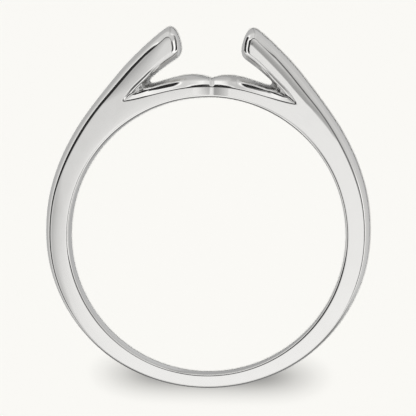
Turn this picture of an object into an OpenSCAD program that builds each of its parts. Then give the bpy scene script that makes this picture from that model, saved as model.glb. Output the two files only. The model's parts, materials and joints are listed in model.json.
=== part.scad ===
// Semi-mount ring: a cast hoop with two cathedral arms and a bridge between
// them, ready for a setting. It lies on its side: the finger axis is Z, the
// setting goes towards +Y, and the origin is the middle of the finger hole.

/* [Finger hole] */
// Inner diameter of the finger hole
finger_d = 17.3; // [15:0.1:21]
// Easing of the edges of the finger hole
edge_ease = 0.16; // [0.1:0.01:0.25]

/* [Width along the finger] */
// Width of the arms, the shoulders and the bridge
head_width = 2.6; // [2.3:0.05:3.4]
// Width of the back of the shank
back_width = 2.2; // [1.6:0.05:2.3]

/* [Wall] */
// Height of the outline above the finger hole, as a share of the design
wall_scale = 1; // [0.85:0.01:1.2]

/* [Seat notch] */
// How far each side of the bridge is pinched in at its middle
pinch_depth = 0.05; // [0.03:0.01:0.3]
// Half the length of the pinched stretch
pinch_reach = 1; // [0.8:0.05:1.4]

/* [Smoothness] */
// Steps across a domed side, from the face to the middle
dome_steps = 5; // [3:1:7]

/* [Hidden] */

// The outline is polar: angle from the setting, and height above the finger
// hole. The face line is the edge of the flat side face, and the mid line is
// the crest of the domed side, halfway across the width. Steps is the number
// of stations up to the next row.
// columns: [face angle, face height, mid angle, mid height, steps]
SHANK = [
    [180, 0.82, 180, 0.97, 3],
    [160, 0.88, 160, 1.04, 3],
    [140, 1.04, 140, 1.19, 3],
    [120, 1.15, 120, 1.34, 3],
    [100, 1.23, 100, 1.49, 3],
    [80, 1.28, 80, 1.59, 3],
    [65, 1.36, 65, 1.73, 3],
    [52, 1.57, 52, 1.96, 3],
    [42, 1.87, 42, 2.25, 3]
];
ARM_OUTER = [
    [33, 2.26, 33, 2.72, 3],
    [26, 2.76, 26, 3.27, 3],
    [19, 3.37, 19, 3.89, 3],
    [14.5, 3.84, 14.5, 4.36, 3]
];
ARM_END = [
    [12.4, 4.05, 11.3, 4.64, 2],
    [11.35, 3.92, 10.05, 4.34, 2],
    [11.1, 3.49, 9.4, 3.79, 2],
    [11.2, 3.16, 9.3, 3.14, 2]
];
ARM_UNDER = [
    [12, 2.97, 10.1, 2.73, 2],
    [14.5, 2.76, 13, 2.45, 2],
    [18.5, 2.38, 16.8, 2.16, 2],
    [23.5, 2.00, 20, 1.91, 2],
    [28.2, 1.71, 21.3, 1.81, 2],
    [31.5, 1.43, 21.8, 1.73, 2]
];
BRIDGE = [
    [33, 1.28, 21.9, 1.62, 2],
    [31, 1.10, 21.7, 1.52, 2],
    [27, 0.90, 20.7, 1.45, 2],
    [21, 0.77, 18, 1.42, 2],
    [15, 0.72, 13.5, 1.44, 3],
    [9, 0.70, 8.3, 1.46, 3],
    [4, 0.68, 3.8, 1.37, 3],
    [0, 0.67, 0, 1.15, 0]
];

// The eased edge of the finger hole, in shares of the easing
// columns: [out from the hole, down from the face]
EASE = [[1, 0], [0.5, 0.134], [0.134, 0.5]];
// Angle that a domed side turns through, from its crest to the face
dome_sweep = 45;
// The rough wall before it is bored true: how far it stands inside the hole,
// and how far below the face it starts, in shares of the easing
bore_stock = 0.35;
stock_down = 1.3;

finger_r = finger_d / 2;
back_y = finger_r + SHANK[0][3] * wall_scale;

// Half the width at a point: full at the head, tapering round the back, and
// pinched in at the middle of the bridge
function taper(y) = y >= 0 ? 0 : pow(y / back_y, 2) * (head_width - back_width) / 2;
function pinch(x, y) = y < 0 ? 0 : pinch_depth * pow(max(1 - abs(x) / pinch_reach, 0), 2);
function half_width(p) = head_width / 2 - taper(p[1]) - pinch(p[0], p[1]);

// Rows of one half, from the back of the shank to the seat notch, as points.
// Past its ends the hoop goes on round the back, and it breaks at the notch.
ROWS = concat(SHANK, ARM_OUTER, ARM_END, ARM_UNDER, BRIDGE);
LAST = len(ROWS) - 1;
function polar(angle, height) = (finger_r + height * wall_scale) * [sin(angle), cos(angle)];
function row_point(k, side) = polar(ROWS[k][2 * side], ROWS[k][2 * side + 1]);
function past(k, side) =
    k < 0 ? [-1, 1] * [[row_point(-k, side)[0], 0], [0, row_point(-k, side)[1]]]
    : k > LAST ? 2 * row_point(LAST, side) - row_point(LAST - 1, side)
    : row_point(k, side);

// Smooth curve from b to c that comes from a and goes on to d
function stride(p, q) = sqrt(norm(q - p));
function curve(a, b, c, d, t) =
    let (
        ab = stride(a, b),
        bc = stride(b, c),
        cd = stride(c, d),
        leave = c - b + bc * ((b - a) / ab - (c - a) / (ab + bc)),
        arrive = c - b + bc * ((d - c) / cd - (d - b) / (bc + cd)),
        ease = t * t * (3 - 2 * t)
    )
    b * (1 - ease) + c * ease + leave * t * pow(1 - t, 2) - arrive * t * t * (1 - t);
function on_line(k, side, t) =
    t == 0 ? row_point(k, side)
    : curve(past(k - 1, side), past(k, side), past(k + 1, side), past(k + 2, side), t);

// Stations of one half: [point on the face line, point on the mid line]
HALF = [
    for (k = [0 : LAST])
        for (s = [0 : max(ROWS[k][4], 1) - 1])
            let (t = s == 0 ? 0 : s / ROWS[k][4])
            [on_line(k, 0, t), on_line(k, 1, t)]
];
END = len(HALF) - 1;

// Stations where the arm leaves the shank, where its end starts and stops, and
// the tip of the cleft between the arm and the bridge
function steps_in(table, k = 0) = k == len(table) ? 0 : table[k][4] + steps_in(table, k + 1);
shoulder = steps_in(SHANK);
arm_top = shoulder + steps_in(ARM_OUTER);
arm_low = arm_top + steps_in(ARM_END);
cleft = arm_low + steps_in(ARM_UNDER);

// Points across a domed side, from one face line over the crest to the other
DOME = [for (j = [0 : 2 * dome_steps]) dome_sweep * (1 - j / dome_steps)];
function dome_points(station) = [
    for (turn = DOME)
        let (
            out = (cos(turn) - cos(dome_sweep)) / (1 - cos(dome_sweep)),
            p = station[0] + (station[1] - station[0]) * out
        )
        [p[0], p[1], half_width(station[0]) * sin(turn) / sin(dome_sweep)]
];

// Points down the finger side at a station, from one face to the other
function hole_point(station, r, down, face) =
    let (p = station[0] / norm(station[0]) * r)
    [p[0], p[1], face * (half_width(p) - down)];
function eased_point(station, ease, face) =
    hole_point(station, finger_r + edge_ease * ease[0], edge_ease * ease[1], face);
function hole_points(station) =
    concat(
        [for (ease = EASE) eased_point(station, ease, 1)],
        [for (face = [1, -1]) hole_point(station, finger_r - bore_stock, edge_ease * stock_down, face)],
        [for (k = [2, 1, 0]) eased_point(station, EASE[k], -1)]
    );

// Both halves in one loop, anticlockwise from the back: the outer loop follows
// the whole outline, and the inner loop only the hoop
HOOP = [for (h = [0 : END]) if (h <= shoulder || h > cleft) h];
HOOP_END = len(HOOP) - 1;
function mirrored(station) = [for (p = station) [-p[0], p[1]]];
OUTER_LOOP = concat(HALF, [for (h = [END - 1 : -1 : 1]) mirrored(HALF[h])]);
INNER_LOOP = concat([for (h = HOOP) HALF[h]], [for (m = [HOOP_END - 1 : -1 : 1]) mirrored(HALF[HOOP[m]])]);
POINTS = [
    for (station = OUTER_LOOP) each dome_points(station),
    for (station = INNER_LOOP) each hole_points(station)
];

// Number of a point, from its side (1 or -1), its station and its place across
across = len(DOME);
hole_across = 2 * len(EASE) + 2;
function outer(side, h, j) = across * (side > 0 ? h : (2 * END - h) % (2 * END)) + j;
function inner(side, m, i) =
    across * len(OUTER_LOOP) + hole_across * (side > 0 ? m : (2 * HOOP_END - m) % (2 * HOOP_END)) + i;
function hoop_of(h) = h <= shoulder ? h : h - cleft + shoulder;

// Triangles of a patch with four corners, turned over where way is -1
function patch(a, b, c, d, way) = way > 0 ? [[a, b, c], [a, c, d]] : [[c, b, a], [d, c, a]];
function corner(a, b, c, way) = way > 0 ? [a, b, c] : [c, b, a];

// A flat side face: the hoop up to the shoulder and on along the bridge, the
// wedge where the cleft starts, the arm, and the arm's rounded end
function face(side, j, i, way) = [
    for (h = [0 : shoulder - 2])
        each patch(inner(side, h + 1, i), outer(side, h + 1, j), outer(side, h, j), inner(side, h, i), way),
    corner(outer(side, cleft, j), outer(side, shoulder - 1, j), inner(side, shoulder - 1, i), way),
    corner(outer(side, cleft, j), outer(side, shoulder, j), outer(side, shoulder - 1, j), way),
    corner(inner(side, shoulder, i), outer(side, cleft, j), inner(side, shoulder - 1, i), way),
    for (h = [cleft : END - 1])
        each patch(
            inner(side, hoop_of(h) + 1, i), outer(side, h + 1, j),
            outer(side, h, j), inner(side, hoop_of(h), i), way
        ),
    for (k = [0 : arm_top - shoulder - 1])
        each patch(
            outer(side, cleft - k - 1, j), outer(side, shoulder + k + 1, j),
            outer(side, shoulder + k, j), outer(side, cleft - k, j), way
        ),
    for (h = [arm_top : arm_low - 2])
        corner(outer(side, h + 1, j), outer(side, h, j), outer(side, arm_low, j), way)
];
FACES = [
    for (t = [0 : 2 * END - 1]) for (j = [0 : across - 2])
        each patch(
            across * t + j, across * ((t + 1) % (2 * END)) + j,
            across * ((t + 1) % (2 * END)) + j + 1, across * t + j + 1, 1
        ),
    for (m = [0 : 2 * HOOP_END - 1]) for (i = [0 : hole_across - 2])
        each patch(
            inner(1, (m + 1) % (2 * HOOP_END), i), inner(1, m, i),
            inner(1, m, i + 1), inner(1, (m + 1) % (2 * HOOP_END), i + 1), 1
        ),
    for (side = [1, -1]) each face(side, 0, 0, side),
    for (side = [1, -1]) each face(side, across - 1, hole_across - 1, -side)
];

module casting() {
    polyhedron(points = POINTS, faces = FACES, convexity = 6);
}

module finger_hole() {
    cylinder(h = 2 * head_width, r = finger_r, center = true, $fn = 120);
}

module mounting() {
    color([0.88, 0.87, 0.85])
        difference() {
            casting();
            finger_hole();
        }
}

mounting();
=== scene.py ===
# %% [markdown]
# # A semi-mount ring in white gold
# This lesson dresses one piece of jewellery: a ring that is sold without its
# stone, so that a jeweller can solder any setting between its two arms. The
# real ring is one casting, polished all over. A polished metal shows nothing
# but what it reflects, so the work is in three things: lines that run true,
# edges that are softened the way a polishing wheel softens them, and a studio
# worth reflecting.

# %% Load the frame
import json
import math
from collections import namedtuple

import bmesh
import bpy
import numpy as np
from mathutils import Matrix, Vector


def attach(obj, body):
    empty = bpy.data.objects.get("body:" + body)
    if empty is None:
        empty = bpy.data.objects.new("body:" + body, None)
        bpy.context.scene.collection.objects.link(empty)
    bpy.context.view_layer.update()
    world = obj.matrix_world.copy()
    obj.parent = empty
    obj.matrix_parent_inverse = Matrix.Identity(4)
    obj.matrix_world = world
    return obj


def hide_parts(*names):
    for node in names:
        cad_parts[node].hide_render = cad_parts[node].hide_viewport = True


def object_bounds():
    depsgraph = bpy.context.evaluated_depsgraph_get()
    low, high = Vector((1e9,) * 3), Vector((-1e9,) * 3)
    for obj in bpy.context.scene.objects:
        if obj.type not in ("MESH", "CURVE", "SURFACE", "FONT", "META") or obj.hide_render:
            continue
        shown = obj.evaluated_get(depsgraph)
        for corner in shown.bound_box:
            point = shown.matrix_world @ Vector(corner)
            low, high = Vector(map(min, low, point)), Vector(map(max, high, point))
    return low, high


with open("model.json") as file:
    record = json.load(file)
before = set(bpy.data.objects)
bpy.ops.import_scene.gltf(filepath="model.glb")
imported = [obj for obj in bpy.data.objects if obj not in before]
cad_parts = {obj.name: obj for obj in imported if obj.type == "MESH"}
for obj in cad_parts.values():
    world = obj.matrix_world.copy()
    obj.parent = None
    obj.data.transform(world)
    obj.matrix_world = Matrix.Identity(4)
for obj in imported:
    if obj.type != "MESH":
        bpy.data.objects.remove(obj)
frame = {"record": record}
cad_low, cad_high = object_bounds()

# %% [markdown]
# ## Sizes to work from
# The frame gives the finger hole's radius, because it is a mount, and the
# ring's own box gives its width. Every other size is a goldsmith's choice, and
# it stands in the cell that needs it first. I work in millimetres and turn
# them into metres once, where a mesh or a node takes them.

# %% Driving sizes
MM = 0.001
hole = next(mount for mount in frame["record"]["mounts"] if mount["name"] == "finger_hole")
FINGER_R = hole["dims"]["r_mm"]
HEAD_HALF = (cad_high.z - cad_low.z) / 2 / MM
print("ring, in mm:", [round((high - low) / MM, 2) for low, high in zip(cad_low, cad_high)])
print("finger radius", FINGER_R, "half width at the head", round(HEAD_HALF, 3))

# %% [markdown]
# ## The two lines that draw the ring
# Seen along the finger, the ring is drawn by two lines. The face line is the
# edge of its flat side face. The mid line is the crest of its domed outer
# side, halfway across the width. Both could be drawn by hand as curves, but
# numbers are easier to check and to change. A goldsmith files to a few marks
# and blends between them, and the table does the same. Each row is one mark on
# both lines, as an angle from the setting and a height above the finger hole,
# with the number of samples up to the next mark. The lines run from the back
# of the shank, up the outside of an arm, round its end, back along its
# underside into the cleft, and along the bridge to the notch.

# %% The marks of one half
Mark = namedtuple("Mark", "face_angle face_height mid_angle mid_height steps")
LONG, SHORT = 15, 12

SHANK = [
    Mark(180, 0.82, 180, 0.97, LONG),
    Mark(160, 0.88, 160, 1.04, LONG),
    Mark(140, 1.04, 140, 1.19, LONG),
    Mark(120, 1.15, 120, 1.34, LONG),
    Mark(100, 1.23, 100, 1.49, LONG),
    Mark(80, 1.28, 80, 1.59, LONG),
    Mark(65, 1.36, 65, 1.73, LONG),
    Mark(52, 1.57, 52, 1.96, LONG),
    Mark(42, 1.87, 42, 2.25, LONG),
]
ARM_OUTER = [
    Mark(33, 2.26, 33, 2.72, LONG),
    Mark(26, 2.76, 26, 3.27, LONG),
    Mark(19, 3.37, 19, 3.89, LONG),
    Mark(14.5, 3.84, 14.5, 4.36, LONG),
]
ARM_END = [
    Mark(12.4, 4.05, 11.3, 4.64, SHORT),
    Mark(11.35, 3.92, 10.05, 4.34, SHORT),
    Mark(11.1, 3.49, 9.4, 3.79, SHORT),
    Mark(11.2, 3.16, 9.3, 3.14, SHORT),
]
ARM_UNDER = [
    Mark(12, 2.97, 10.1, 2.73, SHORT),
    Mark(14.5, 2.76, 13, 2.45, SHORT),
    Mark(18.5, 2.38, 16.8, 2.16, SHORT),
    Mark(23.5, 2.00, 20, 1.91, SHORT),
    Mark(28.2, 1.71, 21.3, 1.81, SHORT),
    Mark(31.5, 1.43, 21.8, 1.73, SHORT),
]
BRIDGE = [
    Mark(33, 1.28, 21.9, 1.62, SHORT),
    Mark(31, 1.10, 21.7, 1.52, SHORT),
    Mark(27, 0.90, 20.7, 1.45, SHORT),
    Mark(21, 0.77, 18, 1.42, SHORT),
    Mark(15, 0.72, 13.5, 1.44, LONG),
    Mark(9, 0.70, 8.3, 1.46, LONG),
    Mark(4, 0.68, 3.8, 1.37, LONG),
    Mark(0, 0.67, 0, 1.15, 0),
]
MARKS = SHANK + ARM_OUTER + ARM_END + ARM_UNDER + BRIDGE
print(len(MARKS), "marks on each half")

# %% [markdown]
# ## Blending from mark to mark
# On the ring, the file has taken out every corner between two marks. Blender's
# own curves could join them, but a NURBS curve misses its marks, and a Bezier
# curve wants handles set by hand. A Catmull-Rom curve passes through every
# mark, and its centripetal form doesn't loop where marks come close together,
# as they do round the arm's end. A polished surface shows every change of
# curvature as a kink in its reflections, so the sampled line is then eased a
# little, each point towards its two neighbours, many times over.

# %% Smooth lines through the marks
EASE_PASSES = 30


def on_plan(angle, height):
    """The point at an angle from the setting and a height above the finger hole."""
    turn = math.radians(angle)
    return (FINGER_R + height) * np.array([math.sin(turn), math.cos(turn)])


def curve_through(marks, steps):
    """Centripetal Catmull-Rom: steps[k] samples from marks[k] to the next one."""
    around = [marks[1] * [-1, 1], *marks, 2 * marks[-1] - marks[-2]]
    line = []
    for k, count in enumerate(steps[:-1]):
        a, b, c, d = around[k : k + 4]
        ab, bc, cd = (math.sqrt(np.linalg.norm(q - p)) for p, q in ((a, b), (b, c), (c, d)))
        leave = c - b + bc * ((b - a) / ab - (c - a) / (ab + bc))
        arrive = c - b + bc * ((d - c) / cd - (d - b) / (bc + cd))
        for t in np.arange(count) / count:
            ease = t * t * (3 - 2 * t)
            bend = leave * t * (1 - t) ** 2 - arrive * t * t * (1 - t)
            line.append(b * (1 - ease) + c * ease + bend)
    return np.array([*line, marks[-1]])


def eased(line):
    """The line with its curvature evened out. Its start mirrors, and its end stays."""
    line = line.copy()
    for _ in range(EASE_PASSES):
        before = np.vstack([line[1] * [-1, 1], line[:-1]])
        after = np.vstack([line[1:], line[-1]])
        line[:-1] = (before + 2 * line + after)[:-1] / 4
    line[0, 0] = 0
    return line


mark_steps = [mark.steps for mark in MARKS]
face_marks = [on_plan(mark.face_angle, mark.face_height) for mark in MARKS]
mid_marks = [on_plan(mark.mid_angle, mark.mid_height) for mark in MARKS]
face_line = eased(curve_through(face_marks, mark_steps))
mid_line = eased(curve_through(mid_marks, mark_steps))
print("samples on each line:", len(face_line))

# %% [markdown]
# ## The softened edge between face and dome
# A polished edge isn't a corner. The wheel rounds it, and on bright metal the
# rounding shows as dark and light lines side by side, because it turns through
# many angles in half a millimetre. A Bevel modifier would round it the same
# everywhere. The real edge changes as it runs on, since a wheel reaches some
# places better than others. So each stretch has a style: a list that says how
# far the surface has tilted, in degrees, at each share of the way across. The
# styles then blend into each other along the line. Where no style holds, as
# round the back, the edge turns slowly at first and faster further out.

# %% How far each style has tilted
TURNS = {
    "crease": [
        (0, 0), (0.05, 9), (0.08, 13), (0.12, 18), (0.19, 26),
        (0.8, 26), (0.86, 24), (0.92, 8), (1, 0),
    ],
    "double": [
        (0, 0), (0.05, 8), (0.08, 14), (0.12, 21.5), (0.19, 22), (0.42, 22),
        (0.45, 21.5), (0.5, 17), (0.53, 16), (0.57, 15), (0.6, 13), (0.66, 12),
        (0.72, 10), (0.8, 8), (0.86, 7), (0.92, 2), (1, 0),
    ],
    "tip": [
        (0, 0), (0.05, 9), (0.08, 10), (0.12, 11), (0.19, 12), (0.28, 13), (0.32, 21.5),
        (0.53, 21.5), (0.57, 11), (0.8, 11), (0.86, 9), (0.92, 2), (1, 0),
    ],
    "cleft": [
        (0, 0), (0.05, 9), (0.08, 10), (0.12, 13), (0.19, 21.5), (0.6, 21.5),
        (0.66, 20), (0.72, 11), (0.86, 11), (0.92, 8), (1, 0),
    ],
    "under": [
        (0, 0), (0.05, 25), (0.08, 30), (0.28, 30), (0.32, 28), (0.36, 20),
        (0.42, 19), (0.45, 26), (0.5, 30), (0.6, 30), (0.66, 20), (0.72, 19),
        (0.8, 20), (0.86, 18), (0.92, 8), (1, 0),
    ],
    "seat": [
        (0, 0), (0.05, 4), (0.08, 8), (0.12, 10.5), (0.19, 12.5), (0.28, 14),
        (0.32, 15.5), (0.36, 18), (0.42, 20.5), (0.45, 21.2), (0.5, 21.5),
        (0.8, 21.5), (0.86, 20), (0.92, 8), (1, 0),
    ],
    "shoulder": [
        (0, 0), (0.05, 4), (0.08, 5.2), (0.12, 6.5), (0.19, 8.5), (0.28, 10.5),
        (0.32, 11.5), (0.36, 12.5), (0.42, 14), (0.45, 15), (0.5, 16.5), (0.53, 17.5),
        (0.57, 19.5), (0.6, 22), (0.66, 27), (0.72, 30), (0.8, 33), (0.86, 33),
        (0.92, 14), (1, 0),
    ],
}
DOME_TAKES_OVER = [(0, 0), (0.8, 0), (0.86, 0.05), (0.92, 0.6), (1, 1)]
TURN_STEPS, SLOW_POWER = 100, 1.5


def read_off(table, at):
    """The value of a table of pairs at each place, blended between its rows."""
    return np.interp(at, *zip(*table))


way = np.linspace(0, 1, TURN_STEPS + 1)
style_turns = np.array([read_off(stops, way) for stops in TURNS.values()])
dome_takes_over = read_off(DOME_TAKES_OVER, way)
print("steepest tilt of each style:", dict(zip(TURNS, style_turns.max(axis=1).tolist())))

# %% Where each style holds
# A row says how far the edge reaches inside and outside the face line, in mm,
# how far its outer end is stretched, and how much of the ribbon it may take.
Edge = namedtuple("Edge", "sample inside outside stretch limit styles")
SHOULDER = LONG * len(SHANK)
ARM_TOP = SHOULDER + LONG * len(ARM_OUTER)
CLEFT = ARM_TOP + SHORT * len(ARM_END + ARM_UNDER)
END = len(face_line) - 1
EDGES = [
    Edge(0, 0.12, 0.4, 1, 0.5, {}),
    Edge(SHOULDER - 62, 0.12, 0.4, 1, 0.5, {}),
    Edge(SHOULDER - 45, 0.15, 0.46, 1, 0.5, {"shoulder": 0.6}),
    Edge(SHOULDER - 30, 0.15, 0.48, 1, 0.5, {"shoulder": 1}),
    Edge(SHOULDER + 8, 0.15, 0.48, 1, 0.5, {"shoulder": 1}),
    Edge(ARM_TOP - 32, 0.12, 0.4, 1, 0.5, {"shoulder": 0.3}),
    Edge(ARM_TOP - 12, 0.08, 0.36, 1, 0.5, {"crease": 1}),
    Edge(ARM_TOP + 4, 0.05, 0.3, 1, 0.5, {"crease": 1}),
    Edge(ARM_TOP + 13, 0.12, 0.4, 1, 0.6, {"crease": 0.6, "tip": 0.4}),
    Edge(ARM_TOP + 19, 0.16, 0.45, 1, 0.7, {"tip": 1}),
    Edge(ARM_TOP + 38, 0.16, 0.45, 1, 0.7, {"tip": 1}),
    Edge(ARM_TOP + 45, 0.06, 0.3, 1, 0.5, {"crease": 0.8}),
    Edge(CLEFT - 54, 0.06, 0.3, 1, 0.5, {"crease": 0.8}),
    Edge(CLEFT - 42, 0.05, 0.36, 1.3, 0.6, {"under": 1}),
    Edge(CLEFT - 24, 0.05, 0.42, 1.6, 0.66, {"under": 1}),
    Edge(CLEFT - 8, 0.05, 0.42, 3, 0.66, {"under": 1}),
    Edge(CLEFT - 2, 0.05, 0.42, 3, 0.66, {"cleft": 1}),
    Edge(CLEFT + 10, 0.05, 0.42, 3, 0.66, {"cleft": 1}),
    Edge(CLEFT + 24, 0.05, 0.48, 2, 0.6, {"cleft": 1}),
    Edge(CLEFT + 31, 0.05, 0.62, 1, 0.6, {"double": 1}),
    Edge(CLEFT + 38, 0.05, 0.6, 1, 0.6, {"double": 1}),
    Edge(END - 44, 0.05, 0.5, 1, 0.6, {"double": 1}),
    Edge(END - 33, 0.05, 0.45, 1, 0.65, {"crease": 0.85, "seat": 0.15}),
    Edge(END - 26, 0.05, 0.45, 1, 0.7, {"crease": 0.35, "seat": 0.65}),
    Edge(END - 12, 0.05, 0.45, 1, 0.8, {"seat": 1}),
    Edge(END - 3, 0.05, 0.45, 1, 0.8, {"seat": 1}),
    Edge(END - 1, 0.05, 0.4, 1, 0.8, {"crease": 1}),
    Edge(END, 0.05, 0.4, 1, 0.8, {"crease": 1}),
]
samples = np.arange(END + 1)


def along_line(values):
    """One value for each row of EDGES, blended into one for each sample."""
    return np.interp(samples, [edge.sample for edge in EDGES], values)


styles = np.array([along_line([edge.styles.get(name, 0) for edge in EDGES]) for name in TURNS])
slow = 1 - styles.sum(axis=0)
print("shoulder at", SHOULDER, "arm's top", ARM_TOP, "cleft", CLEFT, "notch", END)

# %% [markdown]
# ## How wide the edge is, and how steep the dome
# The wheel takes the edge off a little way in over the face and further out
# over the dome. One width all round would be simpler. But where the ribbon
# between the two lines is narrow, the edge would take up all of it, so it gets
# a share of the ribbon at most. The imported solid's dome is an arc of 45
# degrees. The seen one leaves the edge as steeply as that arc does, or at 24
# degrees where that is steeper, so that the two outlines agree.

# %% Widths of the edge, and tilt of the dome
INSIDE_SHARE = 0.35
DOME_SWEEP, LEAST_DOME = math.radians(45), math.radians(24)

ribbon = mid_line - face_line
reach = np.linalg.norm(ribbon, axis=1)
outward = ribbon / reach[:, None]

outside = along_line([edge.outside for edge in EDGES])
stretched = outside * along_line([edge.stretch for edge in EDGES])
most = along_line([edge.limit for edge in EDGES]) * reach
edge_in = np.minimum(along_line([edge.inside for edge in EDGES]), INSIDE_SHARE * reach)
edge_wide, edge_out = np.minimum(outside, most), np.minimum(stretched, most)

flatness = math.tan(DOME_SWEEP) * math.sin(DOME_SWEEP) / (1 - math.cos(DOME_SWEEP))
dome_tilt = np.maximum(np.arctan(HEAD_HALF / (flatness * reach)), LEAST_DOME)
both_ways = edge_in + edge_out
print("edge, in mm:", round(both_ways.min(), 2), "to", round(both_ways.max(), 2))

# %% [markdown]
# ## The fall of the softened edge
# A tilt is a slope, and the slopes added up on the way across give the fall.
# The way could be measured along the ribbon. But the ribbon leans over in the
# clefts, and the edge would get wider there than a wheel leaves it. So the way
# is each point's true distance from the face line.

# %% The softened edge
EDGE_ROWS = 22


def distance_to(line, spots):
    """Each spot's distance from a line of points, and the place on it in samples."""
    nearest, place = np.full(len(spots), np.inf), np.zeros(len(spots))
    for index, (begin, step) in enumerate(zip(line[:-1], np.diff(line, axis=0))):
        share = np.clip((spots - begin) @ step / (step @ step), 0, 1)
        gap = np.linalg.norm(spots - begin - share[:, None] * step, axis=1)
        nearer = gap < nearest
        nearest[nearer], place[nearer] = gap[nearer], (index + share)[nearer]
    return nearest, place


edge_at = -edge_in[:, None] + both_ways[:, None] * np.linspace(0, 1, EDGE_ROWS + 1)
edge_plan = face_line[:, None] + outward[:, None] * edge_at[:, :, None]
from_face_line, _ = distance_to(face_line, edge_plan.reshape(-1, 2))
off_face = np.sign(edge_at) * np.minimum(from_face_line.reshape(edge_at.shape), np.abs(edge_at))
zone = edge_wide - off_face[:, 0]

edge_drop = np.zeros(edge_at.shape)
for k in samples:
    towards_dome = (1 - slow[k]) * dome_takes_over + slow[k] * way**SLOW_POWER
    slope = np.tan(np.radians(styles[:, k] @ style_turns) + dome_tilt[k] * towards_dome)
    summed = np.concatenate([[0], np.cumsum(slope[1:] + slope[:-1])])
    fall = summed / (2 * TURN_STEPS) * zone[k]
    there = (off_face[k] - off_face[k, 0]) / zone[k]
    past_it = np.maximum(there - 1, 0) * zone[k]
    edge_drop[k] = np.interp(there, way, fall) + past_it * slope[-1]
print("the edge falls by up to", round(edge_drop.max(), 3), "mm")

# %% [markdown]
# ## The dome
# Outside its softened edge the ring is domed, so that it sits easily between
# the fingers. A Subdivision Surface would round it too, but it draws a surface
# in from its points, and the outline would leave the marks. I draw the section
# as a Bezier curve with two handles: one leaves the edge at the dome's tilt,
# and the other meets the crest upright. Only one face is worked out, and the
# other is its mirror image.

# %% From the softened edge to the crest
DOME_ROWS = 10
PULL = 0.55


def both_faces(rows):
    """Rows from one face to the middle, and on down to the other face."""
    return np.hstack([rows, rows[:, -2::-1] * [1, 1, -1]])


edge_end = HEAD_HALF - edge_drop[:, -1]
start = np.stack([edge_out, edge_end], axis=1)
crest = np.stack([reach, np.zeros(END + 1)], axis=1)
meet = np.stack([reach, edge_end - (reach - edge_out) * np.tan(dome_tilt)], axis=1)
start_handle, crest_handle = start + PULL * (meet - start), crest + PULL * (meet - crest)
t = np.linspace(0, 1, DOME_ROWS + 1)[1:, None, None]
dome = (
    start * (1 - t) ** 3
    + 3 * start_handle * t * (1 - t) ** 2
    + 3 * crest_handle * t * t * (1 - t)
    + crest * t**3
)

out = np.hstack([edge_at, dome[:, :, 0].T])
height = np.hstack([HEAD_HALF - edge_drop, dome[:, :, 1].T])
plan = face_line[:, None] + outward[:, None] * out[:, :, None]
shell = both_faces(np.dstack([plan, height]))
print("outer side:", len(shell), "samples with", shell.shape[1], "rows")

# %% [markdown]
# ## The finger side
# The finger hole is a true cylinder, and its two edges are eased so that the
# ring slides on. A Boolean could cut it, but its rim would get points that
# match nothing on the face, and polished metal shows such a seam. So the hole
# is drawn in rows, round its eased edge and down its wall. At the sides of the
# back and on the bridge the wheel came in over the face, and there the edge
# turns little at first. The hoop's samples are those of the shank and the
# bridge. Between them, under the root of the arm, the hole runs on past the
# arm, so that stretch gets samples of its own.

# %% The samples round the hole
ROOT_BACK = 14
ROOT = SHOULDER - ROOT_BACK
ARM_COLUMNS = 16

angles = np.arctan2(face_line[:, 0], face_line[:, 1])
root_share = np.arange(1, ARM_COLUMNS) / ARM_COLUMNS
root_angles = angles[ROOT] + (angles[CLEFT] - angles[ROOT]) * root_share
hoop_angles = np.concatenate([angles[: ROOT + 1], root_angles, angles[CLEFT:]])
hoop_angles[-1] = 0
around_hole = np.stack([np.sin(hoop_angles), np.cos(hoop_angles)], axis=1)
print("samples round half the hole:", len(around_hole))

# %% The eased edge and the wall
# Each turn says how many degrees the surface has turned at a share of the way
# round the eased edge, and holds says at which angles from the setting it does.
EASED, EASED_ROWS, WALL_ROWS = 0.16, 12, 2
BACK_HOLDS = [(88, 0.0), (104, 1.0), (125, 1.0), (140, 0.6), (155, 0.2), (166, 0.0)]
BACK_TURN = [(0, 0), (0.1, 8.5), (0.45, 12), (1, 90)]
BRIDGE_HOLDS = [(54, 1.0), (74, 0.0)]
BRIDGE_TURN = [(0, 0), (0.08, 17), (0.34, 20), (0.58, 62), (1, 90)]

round_it = np.linspace(0, 1, EASED_ROWS + 1)
at_back = read_off(BACK_HOLDS, np.degrees(hoop_angles))[:, None]
at_bridge = read_off(BRIDGE_HOLDS, np.degrees(hoop_angles))[:, None]
held = read_off(BACK_TURN, round_it) * at_back + read_off(BRIDGE_TURN, round_it) * at_bridge
turn = np.radians(90 * round_it * (1 - at_back - at_bridge) + held)
middle = (turn[:, 1:] + turn[:, :-1]) / 2

at_face = np.zeros((len(around_hole), 1))
inward = np.hstack([at_face, np.cumsum(np.cos(middle), axis=1)])
down = np.hstack([at_face, np.cumsum(np.sin(middle), axis=1)])
eased_r = FINGER_R + EASED * (1 - inward / inward[:, -1:])
eased_height = HEAD_HALF - EASED * (down / inward[:, -1:])

wall_share = 1 - np.arange(1, WALL_ROWS + 1) / WALL_ROWS
hole_r = np.hstack([eased_r, np.full((len(around_hole), WALL_ROWS), FINGER_R)])
hole_height = np.hstack([eased_height, eased_height[:, -1:] * wall_share])
hole_side = both_faces(np.dstack([around_hole[:, None] * hole_r[:, :, None], hole_height]))
print("rows across the finger side:", hole_side.shape[1])

# %% [markdown]
# ## The side faces
# The side faces look flat, and one many-sided face could fill each of them.
# But a hand has polished them, and a face can only be uneven where it has
# points. So each is a net of strips. On the hoop a strip runs from the hole's
# edge to the face line, and on the arm from its outer edge to its underside,
# one sample against another, all the way to the middle of the arm's end. The
# net on the hoop ends on the net of the arm at its root, with as many strips
# as the arm has columns, so the two share their points.

# %% The nets of the side faces
HOOP_COLUMNS = 16
face_ends = shell[:, 0]
pairs = (CLEFT - ROOT) // 2
steps_up = np.arange(pairs)


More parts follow.
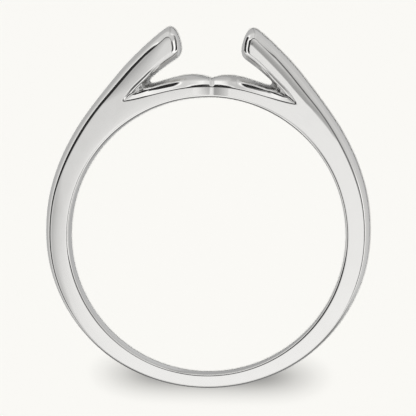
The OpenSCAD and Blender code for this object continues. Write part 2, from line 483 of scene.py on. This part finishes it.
def strips(from_points, to_points, columns):
    """A net of straight strips from one row of points to the other."""
    share = np.linspace(0, 1, columns + 1)[:, None]
    return from_points[:, None] * (1 - share) + to_points[:, None] * share


arm_net = strips(face_ends[ROOT + steps_up], face_ends[CLEFT - steps_up], ARM_COLUMNS)
hoop_ends = np.vstack([face_ends[: ROOT + 1], arm_net[0, 1:-1], face_ends[CLEFT:]])
hoop_net = strips(hole_side[:, 0], hoop_ends, HOOP_COLUMNS)
print("hoop net", hoop_net.shape[:2], "arm net", arm_net.shape[:2])

# %% [markdown]
# ## Stitching the half ring
# The ring is one casting, so it has to be one closed surface. The nets could
# be separate meshes that are merged where they touch, but a merge also eats
# fine detail. Here all points go into one list, and each net keeps the numbers
# of its points. Where two nets meet, the later one takes over the numbers of
# the earlier one, and so nothing has to be merged.

# %% One list of points, one list of faces
points, faces = [], []


def number(block):
    """Adds a block of points and returns their numbers in the same layout."""
    first = len(points)
    points.extend(block.reshape(-1, 3))
    return np.arange(first, len(points)).reshape(block.shape[:-1])


def stitch(numbers, turned=False):
    """Quads between the rows of a net, turned over where they face the other way."""
    a, b = numbers[:-1, :-1].ravel(), numbers[:-1, 1:].ravel()
    c, d = numbers[1:, 1:].ravel(), numbers[1:, :-1].ravel()
    corners = (d, c, b, a) if turned else (a, b, c, d)
    faces.extend(zip(*(corner.tolist() for corner in corners)))


shell_at = number(shell)
hole_at = number(hole_side)
stitch(shell_at)
stitch(hole_at, turned=True)
print("outer side and finger side:", len(points), "points,", len(faces), "faces")

# %% Both side faces
for side, rim in ((1, 0), (-1, -1)):
    this_face = [1, 1, side]
    outer_rim = shell_at[ROOT : ROOT + pairs, rim]
    under_rim = shell_at[CLEFT : CLEFT - pairs : -1, rim]
    arm_at = np.column_stack([outer_rim, number(arm_net[:, 1:-1] * this_face), under_rim])
    stitch(arm_at, turned=side > 0)
    tip = int(shell_at[ROOT + pairs, rim])
    for p, q in zip(arm_at[-1, :-1].tolist(), arm_at[-1, 1:].tolist()):
        faces.append((q, p, tip) if side > 0 else (p, q, tip))
    rims = np.concatenate([shell_at[: ROOT + 1, rim], arm_at[0, 1:-1], shell_at[CLEFT:, rim]])
    hoop_at = np.column_stack([hole_at[:, rim], number(hoop_net[:, 1:-1] * this_face), rims])
    stitch(hoop_at, turned=side < 0)

points = np.array(points)
half_ring = bpy.data.meshes.new("half_ring")
half_ring.from_pydata(points * MM, [], faces)
half_ring.polygons.foreach_set("use_smooth", [True] * len(half_ring.polygons))
half_ring.update()
mounting = bpy.data.objects.new("semi_mount", half_ring)
bpy.context.scene.collection.objects.link(mounting)
print("half ring:", len(points), "points,", len(faces), "faces")

# %% [markdown]
# ## The hand of the polisher
# The two arms were finished by hand, and they aren't twins. On the right arm
# a strip along the outer edge lies two hundredths of a millimetre low, with a
# bend where it starts. On the left arm the face rolls over slowly towards the
# edge. All round the hoop the face dips a little at the finger hole. This
# could be sculpted, but no brush is that exact. Each mark follows an edge, so
# a point's distance from that edge is all it takes. The results are stored on
# the mesh as two attributes, one for each half, which the next tree reads.

# %% How low each point lies
# Both tables give a width in mm at an angle from the setting.
LOW_STRIP = [(0, 0.48), (30, 0.47), (36, 0.42), (42, 0.3), (52, 0.16), (60, 0.0)]
STRIP_SLOPE, STRIP_ROUND = 0.1, 0.12
ROLL_OVER = [
    (14, 0.3), (19, 0.7), (24, 1.0), (30, 0.9), (40, 0.15), (50, 0.1), (65, 0.1),
    (72, 0.4), (80, 0.8), (90, 0.7), (105, 0.5), (120, 0.2), (140, 0.0),
]
ROLL_SLOPE = 0.048
DIP, DIP_WIDE = 0.004, 0.9
LEAST_WIDE = 1e-6

from_outer_edge, at_sample = distance_to(face_line[: ARM_TOP + 1], points[:, :2])
at_angle = np.interp(at_sample, samples, np.degrees(angles))

strip = np.maximum(read_off(LOW_STRIP, at_angle), LEAST_WIDE)
in_strip = 1 - (from_outer_edge / strip) ** 2
bend = (in_strip + STRIP_ROUND) ** 2 / (4 * STRIP_ROUND)
in_strip = np.where(np.abs(in_strip) < STRIP_ROUND, bend, np.maximum(in_strip, 0))
low_right = STRIP_SLOPE / 2 * strip * in_strip

roll = np.maximum(read_off(ROLL_OVER, at_angle), LEAST_WIDE)
low_left = ROLL_SLOPE / 2 * roll * np.maximum(1 - from_outer_edge / roll, 0) ** 2

from_hole = np.linalg.norm(points[:, :2], axis=1) - FINGER_R - EASED
dipped = DIP * (1 - np.clip(from_hole / DIP_WIDE, 0, 1)) ** 3
print("low by up to", round(low_right.max(), 4), "and", round(low_left.max(), 4), "mm")

# %% Stored on the mesh, fading out down the domed side and the finger side
rim_of = np.arange(len(points))
rim_of[shell_at] = shell_at[:, :1]
fading = np.ones(len(points))
fading[shell_at] = np.abs(shell[:, :, 2]) / HEAD_HALF
fading[hole_at] = np.abs(hole_side[:, :, 2]) / HEAD_HALF
for name, low in (("low_right", low_right), ("low_left", low_left)):
    stored = half_ring.attributes.new(name, "FLOAT", "POINT")
    stored.data.foreach_set("value", ((low + dipped)[rim_of] * fading * MM).astype(np.float32))
print("attributes:", [item.name for item in half_ring.attributes if item.name.startswith("low")])

# %% [markdown]
# ## A short way to wire nodes
# The rule, the finish and the studio are all node trees. They could be wired
# by hand in the editor, but a script can be read, checked and run again. A
# node is added, its settings are set, and each input gets either a value or
# another node's output. This small class does that in one call, and it serves
# all the trees below.

# %% Wiring
class Wiring:
    """A node tree, with one call that adds a node and fills its inputs."""

    def __init__(self, tree):
        self.tree = tree

    def add(self, kind, inputs=None, **settings):
        node = self.tree.nodes.new(kind)
        for name, value in settings.items():
            setattr(node, name, value)
        for socket, value in (inputs or {}).items():
            self.feed(node.inputs[socket], value)
        return node

    def feed(self, socket, value):
        if isinstance(value, bpy.types.NodeSocket):
            self.tree.links.new(value, socket)
        else:
            socket.default_value = value

    def math(self, operation, *values):
        return self.add("ShaderNodeMath", dict(enumerate(values)), operation=operation).outputs[0]

    def length(self, a, b):
        """The length of a step of a one way and b the other."""
        squares = [self.math("MULTIPLY", side, side) for side in (a, b)]
        return self.math("SQRT", self.math("ADD", *squares))

    def span(self, value, low, high, to_low=0.0, to_high=1.0, smooth=False):
        """The value's stretch from low to high, laid on to_low to to_high."""
        sizes = {"Value": value, "From Min": low, "From Max": high}
        sizes |= {"To Min": to_low, "To Max": to_high}
        kind = "SMOOTHSTEP" if smooth else "LINEAR"
        return self.add("ShaderNodeMapRange", sizes, interpolation_type=kind).outputs[0]

    def mix(self, factor, first, second):
        """A colour that goes from the first to the second with the factor."""
        colours = {"Factor": factor, "A": first, "B": second}
        return self.add("ShaderNodeMix", colours, data_type="RGBA").outputs["Result"]

    def ramp(self, value, stops):
        """A grey ramp from stops of position and tone."""
        node = self.add("ShaderNodeValToRGB", {0: value})
        elements = node.color_ramp.elements
        elements.remove(elements[1])
        for k, (at, tone) in enumerate(stops):
            element = elements.new(at) if k else elements[0]
            element.position, element.color = at, (tone, tone, tone, 1)
        return node.outputs[0]


def blank(owner):
    """The emptied node tree of a material or a world, ready to be wired."""
    owner.use_nodes = True
    owner.node_tree.nodes.clear()
    return Wiring(owner.node_tree)


print("wiring is ready for", bpy.app.version_string)

# %% [markdown]
# ## The whole ring, by rule
# The other half is a mirror image, and the width follows a rule: full at the
# setting, narrower round the back, and pinched in on both sides of the seat
# notch, whose floor is level for a fifth of a millimetre. On the side faces
# the notch sits a sixth of a millimetre to the right. A Mirror modifier and a
# lattice could do most of this, but the rule would stay hidden. It belongs in
# Geometry Nodes, where each size is a named input: a jeweller who wants a
# wider back changes one number.

# %% The inputs of the rule
BACK_HALF, TAPER_POWER = 1.1, 2.0
NOTCH_DEPTH, NOTCH_REACH, NOTCH_POWER = 0.048, 1.0, 1.5
NOTCH_FLOOR, NOTCH_ROUND = 0.1, 0.07
NOTCH_ASIDE, ASIDE_REACH, ASIDE_POWER = 0.16, 4.0, 2.0
SIZES = {
    "Head half width": HEAD_HALF,
    "Back half width": BACK_HALF,
    "Back of the ring": FINGER_R + SHANK[0].face_height,
    "Notch depth": NOTCH_DEPTH,
    "Notch reach": NOTCH_REACH,
    "Notch floor": NOTCH_FLOOR,
    "Notch aside": NOTCH_ASIDE,
}
rule = bpy.data.node_groups.new("ring_width_rule", "GeometryNodeTree")
rule.interface.new_socket("Geometry", in_out="INPUT", socket_type="NodeSocketGeometry")
for name, size in SIZES.items():
    item = rule.interface.new_socket(name, in_out="INPUT", socket_type="NodeSocketFloat")
    item.default_value = size * MM
rule.interface.new_socket("Finish", in_out="INPUT", socket_type="NodeSocketMaterial")
rule.interface.new_socket("Geometry", in_out="OUTPUT", socket_type="NodeSocketGeometry")
print("inputs of the rule, in mm:", SIZES)

# %% The width and the notch
w = Wiring(rule)
given = w.add("NodeGroupInput").outputs
at = w.add("ShaderNodeSeparateXYZ", {0: w.add("GeometryNodeInputPosition").outputs[0]}).outputs
head = given["Head half width"]
head_side = w.math("GREATER_THAN", at["Y"], 0.0)


def share_left(value, most):
    """1 where the value is nothing, down to 0 where it is the most."""
    return w.math("MAXIMUM", w.math("SUBTRACT", 1.0, w.math("DIVIDE", value, most)), 0.0)


behind = w.math("DIVIDE", w.math("MINIMUM", at["Y"], 0.0), given["Back of the ring"])
narrower = w.math("SUBTRACT", head, given["Back half width"])
taper = w.math("MULTIPLY", w.math("POWER", behind, TAPER_POWER), narrower)

off_floor = w.math("SUBTRACT", w.math("ABSOLUTE", at["X"]), given["Notch floor"])
off_floor = w.math("SMOOTH_MAX", off_floor, 0.0, NOTCH_ROUND * MM)
notch = w.math("POWER", share_left(off_floor, given["Notch reach"]), NOTCH_POWER)
notch = w.math("MULTIPLY", w.math("MULTIPLY", notch, given["Notch depth"]), head_side)

half_width = w.math("SUBTRACT", w.math("SUBTRACT", head, taper), notch)
new_z = w.math("MULTIPLY", at["Z"], w.math("DIVIDE", half_width, head))

near_notch = w.math("POWER", share_left(at["X"], ASIDE_REACH * MM), ASIDE_POWER)
near_notch = w.math("MULTIPLY", near_notch, head_side)
aside = w.math("MULTIPLY", near_notch, w.math("DIVIDE", w.math("ABSOLUTE", at["Z"]), head))
aside = w.math("MULTIPLY", aside, given["Notch aside"])
print("nodes for the width and the notch:", len(rule.nodes))

# %% Both halves, joined
WELD = 0.0002


def finished_half(attribute, side):
    """The half with its width, and with the face lowered by what the attribute says."""
    low = w.add("GeometryNodeInputNamedAttribute", {"Name": attribute}, data_type="FLOAT")
    inward = w.math("MULTIPLY", w.math("SIGN", at["Z"]), low.outputs["Attribute"])
    over = w.math("ADD", at["X"], w.math("MULTIPLY", aside, side))
    lowered = w.math("SUBTRACT", new_z, inward)
    moved = w.add("ShaderNodeCombineXYZ", {"X": over, "Y": at["Y"], "Z": lowered})
    where = {"Geometry": given["Geometry"], "Position": moved.outputs[0]}
    return w.add("GeometryNodeSetPosition", where).outputs[0]


mirror = {"Geometry": finished_half("low_left", -1.0), "Scale": (-1, 1, 1)}
left = w.add("GeometryNodeTransform", mirror).outputs[0]
join = w.add("GeometryNodeJoinGeometry")
w.feed(join.inputs[0], finished_half("low_right", 1.0))
w.feed(join.inputs[0], w.add("GeometryNodeFlipFaces", {"Mesh": left}).outputs[0])
weld = {"Geometry": join.outputs[0], "Distance": WELD * MM}
whole = w.add("GeometryNodeMergeByDistance", weld).outputs[0]
real = w.add("GeometryNodeRealizeInstances", {"Geometry": whole}).outputs[0]
finished = w.add("GeometryNodeSetMaterial", {"Geometry": real, "Material": given["Finish"]})
w.add("NodeGroupOutput", {0: finished.outputs[0]})
print("nodes in the rule:", len(rule.nodes))

# %% [markdown]
# ## Polished white gold
# White gold that is sold is nearly always plated with rhodium, which is a
# little darker and cooler than silver, and it is polished on a soft wheel. A
# bare metallic shader could stand for it, but it would look like a computed
# mirror. Three things keep the real one from that. The wheel leaves hair lines
# that run with the hoop, the hand leaves a faint unevenness, and the shine
# isn't quite the same everywhere. The two crooks under the arms get painted
# shade: a darker colour that stands for the dark reflections there, with an
# uneven bump. All four are made from the object's own coordinates. The hair
# lines use polar ones, so that they follow the hoop round.

# %% Coordinates, straight ones and unrolled ones
LINE_LENGTH = 30.0
gold = bpy.data.materials.new("polished_white_gold")
w = blank(gold)
coords = w.add("ShaderNodeTexCoord").outputs["Object"]
x, y, z = w.add("ShaderNodeSeparateXYZ", {0: coords}).outputs
along = w.math("MULTIPLY", w.math("ARCTAN2", x, y), FINGER_R * MM / LINE_LENGTH)
unrolled = w.add("ShaderNodeCombineXYZ", {"X": w.length(x, y), "Y": along, "Z": z}).outputs[0]
print("hair lines are", LINE_LENGTH, "times as long as they are wide")

# %% Tint and shine
HAIR_SCALE, HAND_SCALE, PLATING_SCALE = 30, 0.45, 1.3
HAIR_DETAIL, PLATING_DETAIL = 3.0, 4.0
GOLD_DEEP, GOLD_PALE = (0.78, 0.772, 0.755), (0.81, 0.803, 0.787)
SHINE, HAIR_SHINE = (0.06, 0.1), (0.0, 0.03)
NOISE_RANGE = (0.3, 0.7)


def noise(vector, scale, detail=2.0, roughness=0.5):
    """Soft noise between 0 and 1, with its scale per millimetre."""
    sizes = {"Vector": vector, "Scale": scale / MM, "Detail": detail, "Roughness": roughness}
    return w.add("ShaderNodeTexNoise", sizes).outputs["Fac"]


hair_lines = noise(unrolled, HAIR_SCALE, HAIR_DETAIL)
hand = noise(coords, HAND_SCALE)
plating = noise(coords, PLATING_SCALE, PLATING_DETAIL)
polished = w.mix(w.span(plating, *NOISE_RANGE), (*GOLD_DEEP, 1), (*GOLD_PALE, 1))
hair_shine = w.span(hair_lines, *NOISE_RANGE, *HAIR_SHINE)
shine = w.math("ADD", w.span(plating, *NOISE_RANGE, *SHINE), hair_shine)
print("roughness from", SHINE[0], "to", SHINE[1] + HAIR_SHINE[1])

# %% The crooks, darkened with painted shade, with an uneven bump
CROOK_X, CROOK_Y = 3.9, 9.4
CROOK_FADE, DEEP_FADE = (0.8, 1.7), (1.0, 1.18)
CROOK_PAINTED_SHADE = (0.4, 0.396, 0.387)
CAST_SCALE, CAST_DETAIL, CAST_ROUGH = 3.0, 3.0, 0.6


def fade(value, near, far):
    """1 up to one distance and 0 past the other, both in millimetres."""
    return w.span(value, near * MM, far * MM, 1.0, 0.0, smooth=True)


beside = w.math("SUBTRACT", w.math("ABSOLUTE", x), CROOK_X * MM)
above = w.math("SUBTRACT", y, CROOK_Y * MM)
in_crook = fade(w.length(beside, above), *CROOK_FADE)
crook_shade_mask = w.math("MULTIPLY", in_crook, fade(w.math("ABSOLUTE", z), *DEEP_FADE))
# Painted shade: the crooks' colour is darkened where dark reflections fall there.
colour = w.mix(crook_shade_mask, polished, (*CROOK_PAINTED_SHADE, 1))
cast_skin = w.math("MULTIPLY", noise(coords, CAST_SCALE, CAST_DETAIL, CAST_ROUGH), crook_shade_mask)
print("crooks at", CROOK_X, "mm aside and", CROOK_Y, "mm up")

# %% Relief and shader
WAVE_DEPTH, CAST_DEPTH, LINE_DEPTH = 0.002, 0.16, 0.00005

relief = {}
for height, depth in ((hand, WAVE_DEPTH), (cast_skin, CAST_DEPTH), (hair_lines, LINE_DEPTH)):
    bump = {"Strength": 1.0, "Distance": depth * MM, "Height": height} | relief
    relief = {"Normal": w.add("ShaderNodeBump", bump).outputs[0]}
metal = {"Base Color": colour, "Metallic": 1.0, "Roughness": shine} | relief
skin = w.add("ShaderNodeBsdfPrincipled", metal)
w.add("ShaderNodeOutputMaterial", {"Surface": skin.outputs[0]})
print("nodes in the finish:", len(gold.node_tree.nodes))

# %% [markdown]
# ## Making the ring
# The ring is one solid piece of metal, so it becomes one mesh. The modifier
# gets its sizes and the finish by the sockets' identifiers, before the object
# is evaluated for the first time. It could stay live, but the frame wants
# plain meshes, so its result is kept and it goes. I test the result, too: a
# closed surface has two faces at every edge, and its volume is the metal that
# the ring takes.

# %% The finished casting
grow = mounting.modifiers.new("width", "NODES")
grow.node_group = rule
for item in rule.interface.items_tree:
    if item.in_out == "INPUT" and item.name in SIZES:
        grow[item.identifier] = SIZES[item.name] * MM
    elif item.name == "Finish":
        grow[item.identifier] = gold

ready = mounting.evaluated_get(bpy.context.evaluated_depsgraph_get())
ring_mesh = bpy.data.meshes.new_from_object(ready)
mounting.modifiers.remove(grow)
mounting.data = ring_mesh
for name in ("low_right", "low_left"):
    ring_mesh.attributes.remove(ring_mesh.attributes[name])
ring_mesh.name = "semi_mount"
triangles = sum(len(face.vertices) - 2 for face in ring_mesh.polygons)
print(len(ring_mesh.vertices), "points,", triangles, "triangles")

# %% Closed, and how much metal
test = bmesh.new()
test.from_mesh(ring_mesh)
open_edges = sum(1 for edge in test.edges if len(edge.link_faces) != 2)
volume = test.calc_volume(signed=True) / MM**3
test.free()
print("edges without two faces:", open_edges, " volume", round(volume, 1), "mm3")

# %% Its place in the frame
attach(mounting, "root")
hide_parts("mounting")
# The floor's light rays don't see the ring, so it casts no bright spots there.
mounting.visible_diffuse = False
print(mounting.name, "stands for the packed casting")

# %% [markdown]
# ## The floor
# The ring lies on its side on pale matt board. A curved backdrop is usual in a
# studio, but this camera looks straight down and sees no horizon, so a plane
# is enough. The board has the faint tooth of paper. The metal doesn't mirror
# it, because all that the metal mirrors is painted on the tent.

# %% The floor
FLOOR_SIZE, FLOOR_TONE = 6, (0.956, 0.947, 0.913)
TOOTH_SCALE, TOOTH_STRENGTH, TOOTH_DEPTH = 900.0, 0.02, 0.0001

bpy.ops.mesh.primitive_plane_add(size=FLOOR_SIZE, location=(0, 0, cad_low.z))
floor = bpy.context.object
floor.name = "floor"
floor.visible_glossy = False

board = bpy.data.materials.new("matt_floor")
w = blank(board)
coords = w.add("ShaderNodeTexCoord").outputs["Object"]
grain = w.add("ShaderNodeTexNoise", {"Vector": coords, "Scale": TOOTH_SCALE}).outputs["Fac"]
bump = {"Strength": TOOTH_STRENGTH, "Distance": TOOTH_DEPTH, "Height": grain}
tooth = w.add("ShaderNodeBump", bump).outputs[0]
paper = w.add("ShaderNodeBsdfDiffuse", {"Color": (*FLOOR_TONE, 1), "Normal": tooth})
w.add("ShaderNodeOutputMaterial", {"Surface": paper.outputs[0]})
floor.data.materials.append(board)
print("floor at", round(floor.location.z / MM, 2), "mm")

# %% [markdown]
# ## The lamp
# A product is often lit by two lamps from the sides, but each would draw the
# ring's shadow next to it, and the photograph shows none. One lamp hangs
# straight above the ring, on the line of sight, so its shadow hides under the
# ring. Wherever it hangs, it is turned towards the ring. The metal doesn't
# mirror it.

# %% The lamp
LAMP_WATTS, LAMP_WIDE, LAMP_HEIGHT = 2.02, 0.05, 0.45

bulb = bpy.data.lights.new("lamp_above", "AREA")
bulb.shape, bulb.size, bulb.energy = "DISK", LAMP_WIDE, LAMP_WATTS
lamp = bpy.data.objects.new("lamp_above", bulb)
bpy.context.scene.collection.objects.link(lamp)
lamp.location = (0, 0, LAMP_HEIGHT)
lamp.rotation_euler = (-lamp.location).to_track_quat("-Z", "Y").to_euler()
lamp.visible_glossy = False
print("lamp", LAMP_WATTS, "W,", LAMP_HEIGHT, "m up")

# %% [markdown]
# ## The graded card
# The only shadow in the picture is a soft one along the back of the hoop. A
# second lamp could cast it, but never so wide and so even. In a studio
# somebody would hold a card between lamp and floor, and this is such a card:
# dark in the middle of a long bow that follows the hoop, and clear at its
# edges and over the ring. Neither the camera nor the metal sees it.

# %% The card
CARD_SIZE, CARD_Z = 30, 3.0
BOW_X, BOW_Y, BOW_LONG, BOW_WIDE = 0.25, -8.8, 7.75, 1.9
BOW_STOPS = [(0, 0.85), (0.25, 0.59), (0.5, 0.3), (0.75, 0.11), (1, 0)]
OFF_RING = (8.8, 9.2)

bpy.ops.mesh.primitive_plane_add(size=CARD_SIZE * MM, location=(0, 0, CARD_Z * MM))
card = bpy.context.object
card.name = "shade_card"
card.visible_camera = card.visible_glossy = card.visible_diffuse = False

smoked = bpy.data.materials.new("graded_card")
w = blank(smoked)
coords = w.add("ShaderNodeTexCoord").outputs["Object"]
x, y, _ = w.add("ShaderNodeSeparateXYZ", {0: coords}).outputs
along_bow = w.math("DIVIDE", w.math("SUBTRACT", x, BOW_X * MM), BOW_LONG * MM)
along_bow = w.math("MULTIPLY", along_bow, along_bow)
off_bow = w.math("DIVIDE", w.math("SUBTRACT", y, BOW_Y * MM), BOW_WIDE * MM)
dark = w.ramp(w.length(along_bow, off_bow), BOW_STOPS)
off_ring = w.span(w.length(x, y), OFF_RING[0] * MM, OFF_RING[1] * MM, smooth=True)
clear = w.math("SUBTRACT", 1.0, w.math("MULTIPLY", dark, off_ring))
see_through = w.add("ShaderNodeBsdfTransparent", {"Color": clear})
w.add("ShaderNodeOutputMaterial", {"Surface": see_through.outputs[0]})
card.data.materials.append(smoked)
print("card", CARD_SIZE, "mm wide,", CARD_Z, "mm above the ring's middle")

# %% [markdown]
# ## The studio that the metal mirrors
# Photographers shoot polished metal in a white tent with a few dark cards. The
# tent is all that the metal shows: the side faces mirror the spot round the
# lens, and the softened edges mirror the ring round that spot, which is where
# the dark cards stand. It could be built from sheets and lamps, but then each
# change would move several things. I paint it on the world, by the angle from
# the opening that the lens looks through. Four ramps hold it: one for the open
# side, and one each for the side with the black card, the far side and the
# near side, which blend over it by direction. A half-tone panel hangs on the
# left. The tent lights nothing but the metal.

# %% Tones of the tent, by degrees from its opening
REST_OF_TENT = [
    (75, 0.72), (95, 0.68), (140, 0.64), (165, 0.58), (171, 0.4), (175, 0.5), (180, 0.58),
]
OPEN_TONES = [
    (0, 1.03), (3.5, 1.04), (5, 1.0), (6.2, 0.76), (7.2, 0.5), (14, 0.42), (16.5, 0.03),
    (27.5, 0.03), (31, 1.25), (46, 1.25), (50, 0.7), (60, 0.62), *REST_OF_TENT,
]
CARD_TONES = [
    (0, 1.03), (3.5, 1.03), (5, 0.98), (7, 0.82), (9.5, 0.5), (12.5, 0.2), (14, 0.03),
    (37.5, 0.03), (41, 1.25), (45.5, 1.25), (48.5, 0.86), (66, 0.76), (95, 0.64),
    (140, 0.56), (165, 0.5), (171, 0.4), (175, 0.5), (180, 0.58),
]
FAR_TONES = [
    (0, 1.03), (3.5, 1.04), (4.5, 1.0), (5.8, 0.68), (6.8, 0.5), (14, 0.42), (16.5, 0.08),
    (21.5, 0.08), (25.5, 0.6), (46, 0.68), (52, 0.7), (60, 0.64), *REST_OF_TENT,
]
NEAR_TONES = [
    (0, 1.03), (1.1, 1.07), (6, 1.08), (12, 1.0), (17, 0.75), (24, 0.66), (29, 0.85),
    (32, 1.25), (35.5, 1.25), (37, 0.92), (47, 0.88), (53, 0.12), (62, 0.06),
    (75, 0.16), (120, 0.25), (160, 0.36), (171, 0.38), (175, 0.5), (180, 0.58),
]
# A side lies towards its way. It starts to show at one cosine of the angle
# from that way, and from the other one on it shows alone.
Side = namedtuple("Side", "way_x way_y starts full tones")
SIDES = [
    Side(-0.8, 0.6, -0.1, 0.6, CARD_TONES),
    Side(0.72, 0.69, 0.88, 0.97, FAR_TONES),
    Side(0.1, -0.99, 0.4, 0.75, NEAR_TONES),
]
print("the open side and", len(SIDES), "others")

# %% The tent, side over side
OPENING_X, OPENING_Y = math.radians(-1.2), math.radians(-3.5)
LEAST_OFF = 0.0001

world = bpy.data.worlds.new("tent")
bpy.context.scene.world = world
w = blank(world)
direction = w.add("ShaderNodeTexCoord").outputs["Generated"]
x, y, _ = w.add("ShaderNodeSeparateXYZ", {0: direction}).outputs
opening = Vector((OPENING_X, OPENING_Y, 1)).normalized()
level = w.add("ShaderNodeVectorMath", {0: direction, 1: opening}, operation="DOT_PRODUCT")
level = w.math("MINIMUM", w.math("MAXIMUM", level.outputs["Value"], -1.0), 1.0)
from_opening = w.math("DIVIDE", w.math("ARCCOSINE", level), math.pi)
off_x, off_y = w.math("SUBTRACT", x, opening.x), w.math("SUBTRACT", y, opening.y)
off = w.math("MAXIMUM", w.length(off_x, off_y), LEAST_OFF)


def sum_of(first, times, second, times_second):
    """The two values, each times its number, added up."""
    return w.math("ADD", w.math("MULTIPLY", first, times), w.math("MULTIPLY", second, times_second))


def tent_ramp(tones):
    """The tones of one side, read at the angle from the opening."""
    return w.ramp(from_opening, [(degrees / 180, tone) for degrees, tone in tones])


tent = tent_ramp(OPEN_TONES)
for side in SIDES:
    turned = w.math("DIVIDE", sum_of(off_x, side.way_x, off_y, side.way_y), off)
    share = w.span(turned, side.starts, side.full, smooth=True)
    tent = w.mix(share, tent, tent_ramp(side.tones))
print("opening", round(math.degrees(math.atan(math.hypot(OPENING_X, OPENING_Y))), 1), "degrees off")

# %% The half-tone panel, and the light's fall from right to left
PANEL_TONE, PANEL_X, PANEL_Y = 0.8, -1.0, 0.3
PANEL_EDGE, PANEL_END = (2.15, 2.7), (8.5, 11.5)
RIGHT_BRIGHTER = 0.08


def soft_step(value, degrees, before, after):
    """A soft step between two angles, given in degrees."""
    return w.span(value, *map(math.radians, degrees), before, after, smooth=True)


leftward = sum_of(x, PANEL_X, y, PANEL_Y)
panel_starts = soft_step(leftward, PANEL_EDGE, 1.0, PANEL_TONE)
panel = w.math("MAXIMUM", panel_starts, soft_step(leftward, PANEL_END, PANEL_TONE, 1.0))
brighter = w.math("ADD", w.math("MULTIPLY", x, RIGHT_BRIGHTER), 1.0)
strength = w.math("MULTIPLY", brighter, panel)
cloth = w.add("ShaderNodeBackground", {"Color": tent, "Strength": strength})
w.add("ShaderNodeOutputWorld", {"Surface": cloth.outputs[0]})
world.cycles_visibility.diffuse = False
print("nodes in the tent:", len(world.node_tree.nodes))

# %% [markdown]
# ## The camera
# The lens looks down the finger hole from a quarter of a metre, 2.2 degrees
# from the right and 2 degrees from the setting's side, and the camera is
# rolled by one degree, as the ring is in the photograph. Without perspective
# it would be easier to aim, but then the finger side would show as much at the
# near edge as at the far one. The focal length fits 26.1 mm of floor into the
# picture.

# %% The camera
DISTANCE = 0.25
LEAN_X, LEAN_Y = math.radians(2.2), math.radians(2.0)
AIM = Vector((-0.015 * MM, 1.7 * MM, 0))
ROLL = math.radians(1.0)
FIELD = 26.08 * MM
SENSOR, NEAREST, FURTHEST = 36, 0.01, 20

back = Vector((math.tan(LEAN_X), math.tan(LEAN_Y), 1)).normalized()
up = Vector((-math.sin(ROLL), math.cos(ROLL), 0))
right = up.cross(back).normalized()
up = back.cross(right)
view = bpy.data.cameras.new("camera")
view.sensor_width = SENSOR
view.lens = SENSOR * DISTANCE / FIELD
view.clip_start, view.clip_end = NEAREST, FURTHEST
camera = bpy.data.objects.new("camera", view)
bpy.context.scene.collection.objects.link(camera)
facing = Matrix((right, up, back)).transposed().to_4x4()
camera.matrix_world = Matrix.Translation(AIM + back * DISTANCE) @ facing
bpy.context.scene.camera = camera
bpy.context.scene.view_settings.view_transform = "Standard"
print("lens", round(view.lens, 1), "mm")
